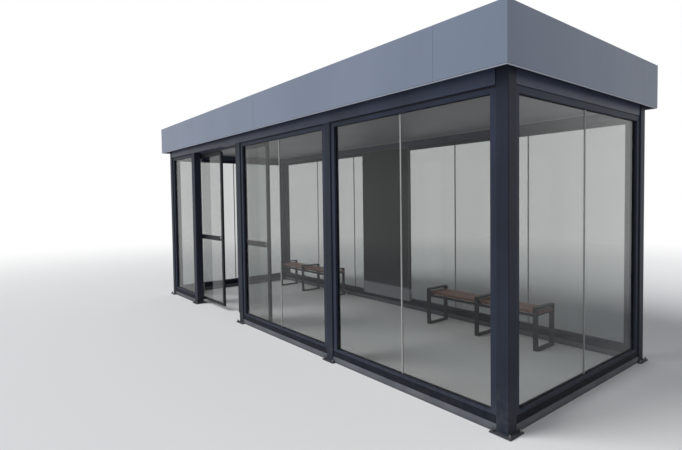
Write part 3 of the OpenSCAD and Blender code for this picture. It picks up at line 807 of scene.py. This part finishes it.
# A head brush stands on the leaf's top, up to just below the track: a carrier and the pile in it.
head_brush = np.array([(0, 0), (0.004, 0), (0.004, 0.005), (0.0032, 0.006), (0.003, 0.0185),
                       (0.001, 0.0185), (0.0008, 0.006), (0, 0.005)])
for side, edge_sign in (("far", 1), ("near", -1)):
    body, frame_name, glass_name = f"{side}_leaf", f"leaf_{side}_frame", f"leaf_{side}_glass"
    dress(leaf_coat_painted_shade, frame_name)
    dress(leaf_glass, glass_name)
    low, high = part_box(glass_name)
    left, right = low.x - leaf_stile + glass_groove, high.x + leaf_stile - glass_groove
    bottom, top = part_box(frame_name)[0].z, high.z - glass_groove + leaf_head
    opening = (left + leaf_stile, right - leaf_stile, bottom + leaf_sill, top - leaf_head)
    outside, inside, middle_y = half_depth + low.y, half_depth + high.y, (low.y + high.y) / 2
    piece(f"leaf_{side}_gaskets", [gasket(wall_front, *opening, face, away, gasket_back * gasket_share)
                                   for face, away in ((outside, -1), (inside, 1))],
          rubber, body, round_rows=True)
    lock_x, lock_z = right - leaf_stile - lock_wide / 2, push_high - lock_high / 2
    lock_spots = {-1: [(lock_x, outside - lock_off, lock_z)], 1: [(lock_x, inside + lock_off, lock_z)]}
    piece(f"leaf_{side}_lock_plates", [fixed(wall_front, part, lock_spots[away], away)
                                       for part in (lock_plate, lock_rose) for away in (-1, 1)],
          satin_steel, body)
    piece(f"leaf_{side}_keyholes", [fixed(wall_front, keyhole, lock_spots[away], away) for away in (-1, 1)],
          keyhole_painted_shade, body)
    push_end, push_middle = right - leaf_stile - push_stop, (push_low + push_high) / 2
    push_caps = [bar(push_cap, (push_end, y, push_middle), (push_end + push_cap_thick, y, push_middle))
                 for y in (low.y - push_off, high.y + push_off)]
    piece(f"leaf_{side}_bar_caps", push_caps, black_plastic, body)
    hangers = [(x, middle_y, top) for x in (left + hanger_inset, right - hanger_inset)]
    piece(f"leaf_{side}_hanger_nuts", [placed(hanger_nut, hangers)], zinc_plate, body,
          round_rows=True)
    meeting = right if side == "far" else left
    pile = np.array([(0, -pile_wide / 2), (edge_sign * pile_out, -pile_wide / 3),
                     (edge_sign * pile_out, pile_wide / 3), (0, pile_wide / 2)])
    edge_brush = bar(pile, (meeting, middle_y, bottom + pile_short), (meeting, middle_y, top - pile_short),
                     (1, 0, 0), (0, 1, 0))
    piece(f"leaf_{side}_brush", [edge_brush], brush_pile, body)
    brush_y = low.y - head_brush_off
    top_brush = bar(head_brush, (left, brush_y, top), (right, brush_y, top))
    piece(f"leaf_{side}_head_brush", [top_brush], head_pile, body)

# Benches. Loops of black coated flat bar, and four stained timber slats a seat, bolted through the
# loops' seat bars with round headed coach bolts. Two anchors hold each loop down.
bench_coat = powder_coat("bench_coat", (34, 36, 41), (96, 92, 86), 0.12, 0.48)
dress(bench_coat, "bench_near_frame", "bench_far_frame")
slat_pitch, slat_wide, slats, loop_wide, foot_thick = 0.075, 0.065, 4, 0.050, 0.020
nut_drop, foot_inset = 0.015, 0.06
timber, place = finish("stained_timber")
slat_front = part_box("bench_near_slats")[0].y
slat_place = place.part("Y") - slat_front + (slat_pitch - slat_wide) / 2
slat_number = (slat_place * (1 / slat_pitch)).whole()
bench_number = place.part("X").step(-0.01, 0.01)
shift = place.add("ShaderNodeCombineXYZ", None, {0: slat_number * 3.7 + bench_number * 11.3,
                                                 1: slat_number * 1.9, 2: bench_number * 5.1})
moved = place.add("ShaderNodeVectorMath", {"operation": "ADD"},
                  {0: place.stretched((0.09, 1, 1)), 1: shift})
rings = moved.add("ShaderNodeTexWave", {"bands_direction": "Y"},
                  {"Vector": moved, "Scale": 22.0, "Distortion": 9.0, "Detail": 3.0, "Detail Scale": 1.4})
pores = moved.stretched((0.25, 1, 1)).noise(420, 3)
slat_tone = place.add("ShaderNodeTexWhiteNoise", {"noise_dimensions": "1D"},
                      {"W": slat_number + bench_number * 7})
grain = rings * 0.55 + pores * 0.45
stain_dark, stain_light = rgb(88, 52, 40), rgb(142, 92, 70)
colour = (grain * 0.75 + slat_tone * 0.25).step(0.18, 0.86).tint(stain_dark, stain_light)
coat(timber, grain, 0.0006, Base_Color=pores.step(0.34, 0.2).tint(colour, rgb(62, 40, 32)),
     Roughness=0.5 + pores * 0.15, Coat_Weight=0.15, Coat_Roughness=0.35)
dress(timber, "bench_near_slats", "bench_far_slats")
bolt_spots, nut_spots, foot_spots = [], [], []
for side in ("near", "far"):
    low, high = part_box(f"bench_{side}_frame")
    slats_low, slats_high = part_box(f"bench_{side}_slats")
    slat_ys = slats_low.y + slat_wide / 2 + np.arange(slats) * slat_pitch
    for loop_x in (low.x + loop_wide / 2, (low.x + high.x) / 2, high.x - loop_wide / 2):
        bolt_spots += [(loop_x, y, slats_high.z) for y in slat_ys]
        nut_spots += [(loop_x, y, slats_low.z - nut_drop) for y in slat_ys]
        foot_spots += [(loop_x, y, foot_thick) for y in (low.y + foot_inset, high.y - foot_inset)]
black_bolt = bright_metal("blackened_bolt", (84, 84, 86), 0.4, 120)
bolt_head = dome(radius=0.0095, high=0.0042, sides=20)
bolt_nut = nut(across=0.013, high=0.0065, bore=0.0037, low=-0.0065)
foot_nut = nut(across=0.017, high=0.008, bore=0.005, low=washer_thick)
piece("bench_bolt_heads", [placed(bolt_head, bolt_spots)], black_bolt)
piece("bench_bolt_nuts", [placed(bolt_nut, nut_spots)], zinc_plate, round_rows=True)
piece("bench_foot_nuts", [placed(washer, foot_spots), placed(foot_nut, foot_spots)],
      zinc_plate, round_rows=True)
